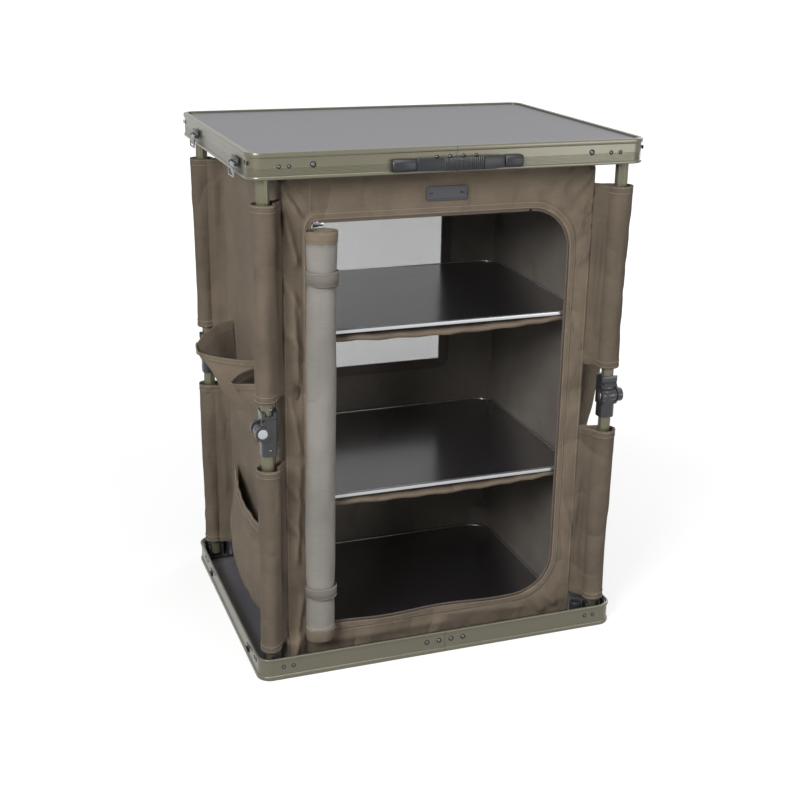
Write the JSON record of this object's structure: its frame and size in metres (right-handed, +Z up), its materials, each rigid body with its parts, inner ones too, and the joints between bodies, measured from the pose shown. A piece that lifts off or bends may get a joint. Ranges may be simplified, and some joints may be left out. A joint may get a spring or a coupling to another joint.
{
  "type": "camping storage unit",
  "caption": "Folding camp cupboard: hard top and base trays on folding legs with locking knuckles, a hung cloth cabinet with shelves, rolled door, side pockets, carrying handle and draw latches",
  "frame": {"origin": "middle of the footprint, on the ground plane under the base tray", "axes": "+Z up, -Y the front with the opening and the handle, +X to the right seen from the front"},
  "size_m": [0.653, 0.4702, 0.8],
  "materials": {
    "rail_paint": "olive-grey powder coat, slightly satin",
    "board_laminate": "matt grey laminate on a thin board",
    "dark_moulding": "dark slate moulded plastic, fine grain",
    "tube_paint": "olive anodised look with shallow flutes",
    "button_grey": "pale grey moulded plastic",
    "pin_steel": "plain bright steel",
    "bright_wire": "bright plated",
    "dark_plate": "dark satin paint",
    "khaki_cloth": "matt woven khaki-brown cloth",
    "grey_lining": "matt woven grey lining cloth",
    "mesh_net": "open knitted net",
    "shelf_black": "black semi-gloss sheet",
    "strap_plastic": "dark slate moulded plastic",
    "zip_tape_cloth": "woven tape"
  },
  "bodies": {
    "base": {"base_board": "board_laminate", "base_frame": "rail_paint", "foot_bracket_front_left": "dark_moulding", "foot_bracket_front_right": "dark_moulding", "foot_bracket_rear_right": "dark_moulding", "foot_bracket_rear_left": "dark_moulding", "latch_catch_front": "dark_plate", "latch_catch_rear": "dark_plate", "cabinet_fabric": "khaki_cloth", "rear_mesh": "mesh_net", "door_roll": "grey_lining", "left_upper_pocket": "khaki_cloth", "left_lower_pocket": "khaki_cloth", "right_pockets": "khaki_cloth", "floor_board": "shelf_black"},
    "lower_leg_front_left": {"lower_tube_front_left": "tube_paint", "knuckle_fork_front_left": "dark_moulding", "knuckle_pin_front_left": "pin_steel"},
    "button_front_left": {"release_button_front_left": "button_grey"},
    "upper_leg_front_left": {"upper_tube_front_left": "tube_paint", "knuckle_tongue_front_left": "dark_moulding"},
    "lower_leg_front_right": {"lower_tube_front_right": "tube_paint", "knuckle_fork_front_right": "dark_moulding", "knuckle_pin_front_right": "pin_steel"},
    "button_front_right": {"release_button_front_right": "button_grey"},
    "upper_leg_front_right": {"upper_tube_front_right": "tube_paint", "knuckle_tongue_front_right": "dark_moulding"},
    "lower_leg_rear_right": {"lower_tube_rear_right": "tube_paint", "knuckle_fork_rear_right": "dark_moulding", "knuckle_pin_rear_right": "pin_steel"},
    "button_rear_right": {"release_button_rear_right": "button_grey"},
    "upper_leg_rear_right": {"upper_tube_rear_right": "tube_paint", "knuckle_tongue_rear_right": "dark_moulding"},
    "lower_leg_rear_left": {"lower_tube_rear_left": "tube_paint", "knuckle_fork_rear_left": "dark_moulding", "knuckle_pin_rear_left": "pin_steel"},
    "button_rear_left": {"release_button_rear_left": "button_grey"},
    "upper_leg_rear_left": {"upper_tube_rear_left": "tube_paint", "knuckle_tongue_rear_left": "dark_moulding"},
    "top": {"top_board": "board_laminate", "top_frame": "rail_paint", "top_bracket_front_left": "dark_moulding", "top_bracket_front_right": "dark_moulding", "top_bracket_rear_right": "dark_moulding", "top_bracket_rear_left": "dark_moulding", "handle_cap_left": "strap_plastic", "handle_cap_right": "strap_plastic", "handle_strap": "strap_plastic", "latch_plate_front": "dark_plate", "latch_plate_rear": "dark_plate"},
    "lever_front": {"latch_lever_front": "bright_wire"},
    "loop_front": {"latch_loop_front": "bright_wire"},
    "lever_rear": {"latch_lever_rear": "bright_wire"},
    "loop_rear": {"latch_loop_rear": "bright_wire"},
    "lower_shelf": {"lower_shelf_board": "shelf_black", "lower_shelf_sling": "khaki_cloth"},
    "upper_shelf": {"upper_shelf_board": "shelf_black", "upper_shelf_sling": "khaki_cloth"},
    "zip_edge": {"zip_tape": "zip_tape_cloth"},
    "zip_slider": {"zip_slider": "bright_wire"}
  },
  "joints": [
    {"name": "fold", "type": "hinge", "parent": "base", "child": "lower_leg_front_left", "pos_m": [-0.274, -0.204, 0.026], "axis": [0, 1, 0], "range_deg": [0, 90], "deforming": ["cabinet_fabric", "rear_mesh", "door_roll", "left_upper_pocket", "left_lower_pocket", "right_pockets"]},
    {"name": "knee_front_left", "type": "hinge", "parent": "lower_leg_front_left", "child": "upper_leg_front_left", "pos_m": [-0.285, -0.204, 0.4], "axis": [0, 1, 0], "range_deg": [-180, 0]},
    {"name": "press_front_left", "type": "slide", "parent": "lower_leg_front_left", "child": "button_front_left", "axis": [0, 1, 0], "range_m": [0, 0.003], "stiffness_N_per_m": 150, "springref_m": -0.002},
    {"name": "foot_front_right", "type": "hinge", "parent": "base", "child": "lower_leg_front_right", "pos_m": [0.274, -0.204, 0.026], "axis": [-1, 0, 0], "range_deg": [0, 90]},
    {"name": "knee_front_right", "type": "hinge", "parent": "lower_leg_front_right", "child": "upper_leg_front_right", "pos_m": [0.274, -0.215, 0.4], "axis": [-1, 0, 0], "range_deg": [-180, 0]},
    {"name": "press_front_right", "type": "slide", "parent": "lower_leg_front_right", "child": "button_front_right", "axis": [-1, 0, 0], "range_m": [0, 0.003], "stiffness_N_per_m": 150, "springref_m": -0.002},
    {"name": "foot_rear_right", "type": "hinge", "parent": "base", "child": "lower_leg_rear_right", "pos_m": [0.274, 0.204, 0.026], "axis": [0, -1, 0], "range_deg": [0, 90]},
    {"name": "knee_rear_right", "type": "hinge", "parent": "lower_leg_rear_right", "child": "upper_leg_rear_right", "pos_m": [0.285, 0.204, 0.4], "axis": [0, -1, 0], "range_deg": [-180, 0]},
    {"name": "press_rear_right", "type": "slide", "parent": "lower_leg_rear_right", "child": "button_rear_right", "axis": [0, -1, 0], "range_m": [0, 0.003], "stiffness_N_per_m": 150, "springref_m": -0.002},
    {"name": "foot_rear_left", "type": "hinge", "parent": "base", "child": "lower_leg_rear_left", "pos_m": [-0.274, 0.204, 0.026], "axis": [1, 0, 0], "range_deg": [0, 90]},
    {"name": "knee_rear_left", "type": "hinge", "parent": "lower_leg_rear_left", "child": "upper_leg_rear_left", "pos_m": [-0.274, 0.215, 0.4], "axis": [1, 0, 0], "range_deg": [-180, 0]},
    {"name": "press_rear_left", "type": "slide", "parent": "lower_leg_rear_left", "child": "button_rear_left", "axis": [1, 0, 0], "range_m": [0, 0.003], "stiffness_N_per_m": 150, "springref_m": -0.002},
    {"name": "top_hinge", "type": "hinge", "parent": "upper_leg_front_left", "child": "top", "pos_m": [-0.274, -0.204, 0.774], "axis": [0, 1, 0], "range_deg": [0, 90]},
    {"name": "lever_swing_front", "type": "hinge", "parent": "top", "child": "lever_front", "pos_m": [-0.304, -0.16, 0.7775], "axis": [0, 1, 0], "range_deg": [0, 100]},
    {"name": "loop_swing_front", "type": "hinge", "parent": "lever_front", "child": "loop_front", "pos_m": [-0.3068, -0.16, 0.7715], "axis": [0, 1, 0], "range_deg": [0, 80]},
    {"name": "lever_swing_rear", "type": "hinge", "parent": "top", "child": "lever_rear", "pos_m": [-0.304, 0.11, 0.7775], "axis": [0, 1, 0], "range_deg": [0, 100]},
    {"name": "loop_swing_rear", "type": "hinge", "parent": "lever_rear", "child": "loop_rear", "pos_m": [-0.3068, 0.11, 0.7715], "axis": [0, 1, 0], "range_deg": [0, 80]},
    {"name": "lower_shelf_drop", "type": "slide", "parent": "base", "child": "lower_shelf", "axis": [0, 0, -1], "range_m": [0, 0.241]},
    {"name": "upper_shelf_drop", "type": "slide", "parent": "base", "child": "upper_shelf", "axis": [0, 0, -1], "range_m": [0, 0.4865]},
    {"name": "zip_edge_drop", "type": "slide", "parent": "base", "child": "zip_edge", "axis": [0, 0, -1], "range_m": [0, 0.634]},
    {"name": "zip_run", "type": "slide", "parent": "zip_edge", "child": "zip_slider", "axis": [1, 0, 0], "range_m": [0, 0.31]}
  ],
  "couplings": [
    {"joint": "knee_front_left", "follows": "fold", "ratio": -2},
    {"joint": "foot_front_right", "follows": "fold", "ratio": 1},
    {"joint": "knee_front_right", "follows": "fold", "ratio": -2},
    {"joint": "foot_rear_right", "follows": "fold", "ratio": 1},
    {"joint": "knee_rear_right", "follows": "fold", "ratio": -2},
    {"joint": "foot_rear_left", "follows": "fold", "ratio": 1},
    {"joint": "knee_rear_left", "follows": "fold", "ratio": -2},
    {"joint": "top_hinge", "follows": "fold", "ratio": 1},
    {"joint": "lower_shelf_drop", "follows": "fold", "m_per_rad": 0.15343},
    {"joint": "upper_shelf_drop", "follows": "fold", "m_per_rad": 0.30972},
    {"joint": "zip_edge_drop", "follows": "fold", "m_per_rad": 0.40362}
  ]
}
